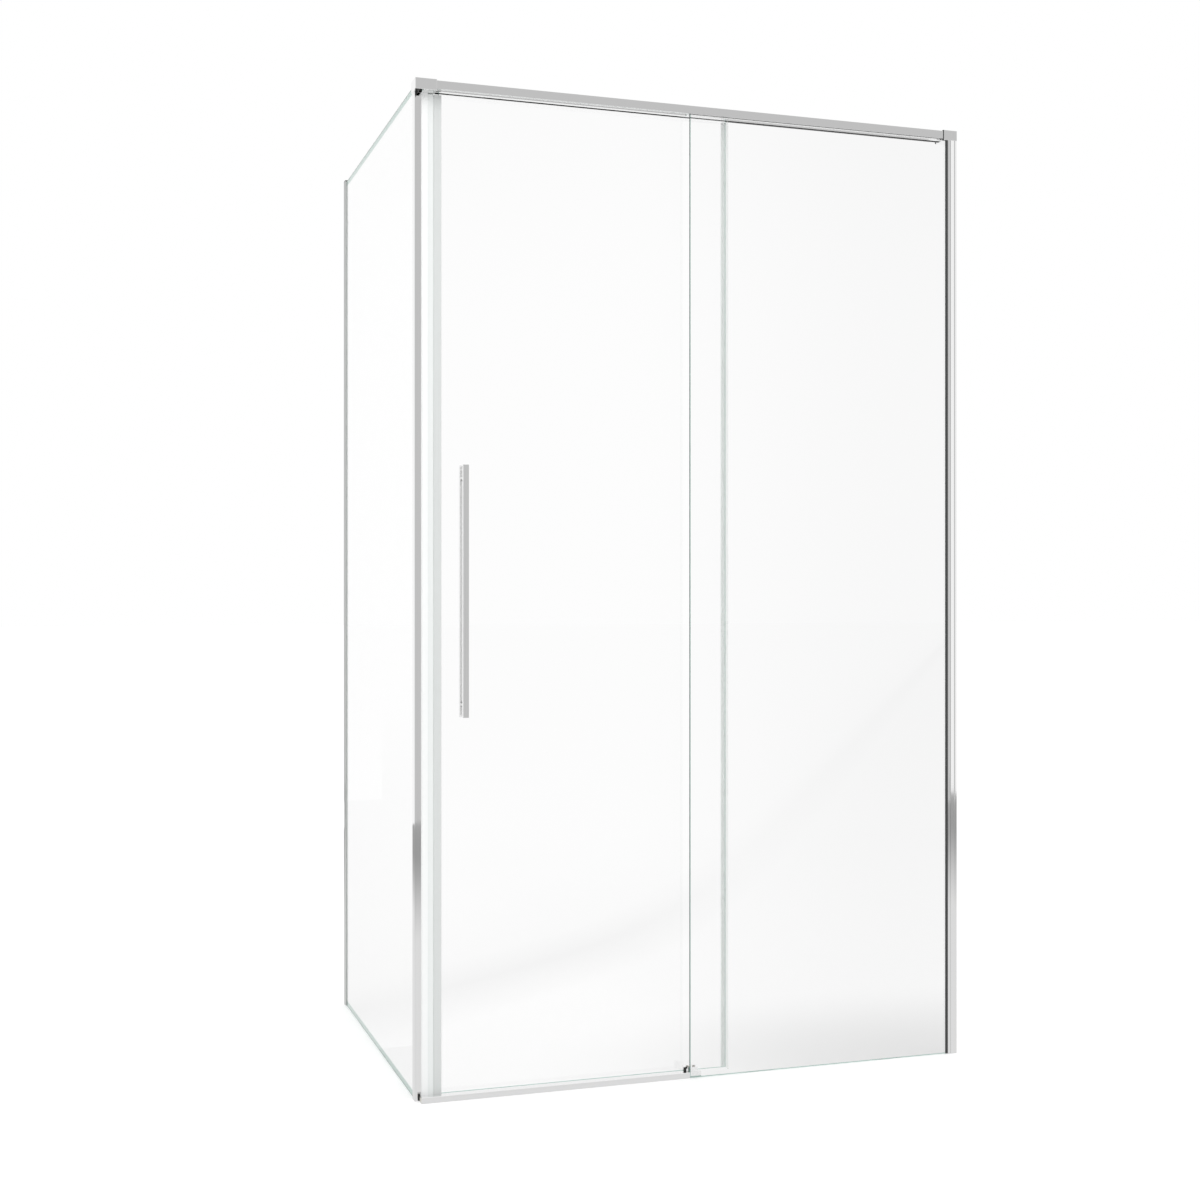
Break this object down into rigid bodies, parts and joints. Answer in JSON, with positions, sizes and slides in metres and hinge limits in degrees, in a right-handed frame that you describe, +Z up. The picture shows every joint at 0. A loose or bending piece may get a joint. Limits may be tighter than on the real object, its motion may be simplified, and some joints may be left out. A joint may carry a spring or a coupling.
{
  "type": "shower enclosure with sliding door",
  "caption": "Corner shower enclosure with a fixed side pane, a fixed front pane and a glass door that slides behind it, hung on wheels in a slim top rail.",
  "frame": {"origin": "middle of the base rectangle, on the floor", "axes": "+X along the front from the corner post to the wall, +Y from the front to the back wall, +Z up"},
  "size_m": [1.193, 0.857, 2],
  "materials": {
    "clear_glass": "clear toughened float glass with ground edges",
    "bright_profile": "bright polished anodised extrusion",
    "bright_cap": "chrome plated die casting",
    "handle_metal": "chrome plated bar",
    "carriage_metal": "plain die cast",
    "screw_steel": "stainless steel",
    "black_moulding": "black moulded plastic",
    "wheel_moulding": "white moulded acetal",
    "clear_seal": "translucent extruded vinyl",
    "dark_gasket": "dark extruded rubber",
    "magnet_rubber": "flexible magnet strip"
  },
  "bodies": {
    "enclosure": {"cap_screws": "screw_steel", "corner_cap": "bright_cap", "corner_post": "bright_profile", "end_cap": "bright_cap", "end_cap_gasket": "dark_gasket", "fixed_glass": "clear_glass", "front_glazing_channel": "bright_profile", "front_glazing_gasket": "dark_gasket", "front_wall_channel": "bright_profile", "guide_body": "black_moulding", "guide_cover": "bright_cap", "guide_screws": "screw_steel", "post_gasket": "clear_seal", "post_head": "black_moulding", "post_head_screw": "screw_steel", "profile_screws": "screw_steel", "rail_gasket": "clear_seal", "rail_infill": "clear_seal", "rail_stop_left": "black_moulding", "rail_stop_right": "black_moulding", "screw_covers": "bright_cap", "setting_pads": "clear_seal", "side_glass": "clear_glass", "side_glazing_channel": "bright_profile", "side_glazing_gasket": "clear_seal", "side_top_cover": "black_moulding", "side_wall_channel": "bright_profile", "strike_magnet": "magnet_rubber", "strike_magnet_strip": "clear_seal", "strike_profile": "clear_seal", "threshold": "bright_profile", "threshold_buffer": "black_moulding", "threshold_plugs": "wheel_moulding", "top_rail": "bright_profile"},
    "door": {"door_glass": "clear_glass", "door_magnet_seal": "clear_seal", "door_magnet": "magnet_rubber", "door_lap_seal": "clear_seal", "carriage_left": "carriage_metal", "carriage_right": "carriage_metal", "wheel_axles": "screw_steel", "handle_outer_bar": "handle_metal", "handle_inner_bar": "handle_metal", "handle_spacers": "handle_metal", "handle_studs": "screw_steel", "handle_bushes": "clear_seal"},
    "wheel_1": {"wheel_1_tyre": "wheel_moulding", "wheel_1_bearing": "screw_steel"},
    "wheel_2": {"wheel_2_tyre": "wheel_moulding", "wheel_2_bearing": "screw_steel"},
    "wheel_3": {"wheel_3_tyre": "wheel_moulding", "wheel_3_bearing": "screw_steel"},
    "wheel_4": {"wheel_4_tyre": "wheel_moulding", "wheel_4_bearing": "screw_steel"}
  },
  "joints": [
    {"name": "door_slide", "type": "slide", "parent": "enclosure", "child": "door", "axis": [1, 0, 0], "range_m": [0, 0.45]},
    {"name": "wheel_1_spin", "type": "hinge", "parent": "door", "child": "wheel_1", "pos_m": [-0.5086, -0.4055, 1.9886], "axis": [0, 1, 0], "continuous": true},
    {"name": "wheel_2_spin", "type": "hinge", "parent": "door", "child": "wheel_2", "pos_m": [-0.4646, -0.4055, 1.9886], "axis": [0, 1, 0], "continuous": true},
    {"name": "wheel_3_spin", "type": "hinge", "parent": "door", "child": "wheel_3", "pos_m": [-0.0136, -0.4055, 1.9886], "axis": [0, 1, 0], "continuous": true},
    {"name": "wheel_4_spin", "type": "hinge", "parent": "door", "child": "wheel_4", "pos_m": [0.0304, -0.4055, 1.9886], "axis": [0, 1, 0], "continuous": true}
  ],
  "couplings": [
    {"joint": "wheel_1_spin", "follows": "door_slide", "rad_per_m": 192.31},
    {"joint": "wheel_2_spin", "follows": "door_slide", "rad_per_m": 192.31},
    {"joint": "wheel_3_spin", "follows": "door_slide", "rad_per_m": 192.31},
    {"joint": "wheel_4_spin", "follows": "door_slide", "rad_per_m": 192.31}
  ]
}
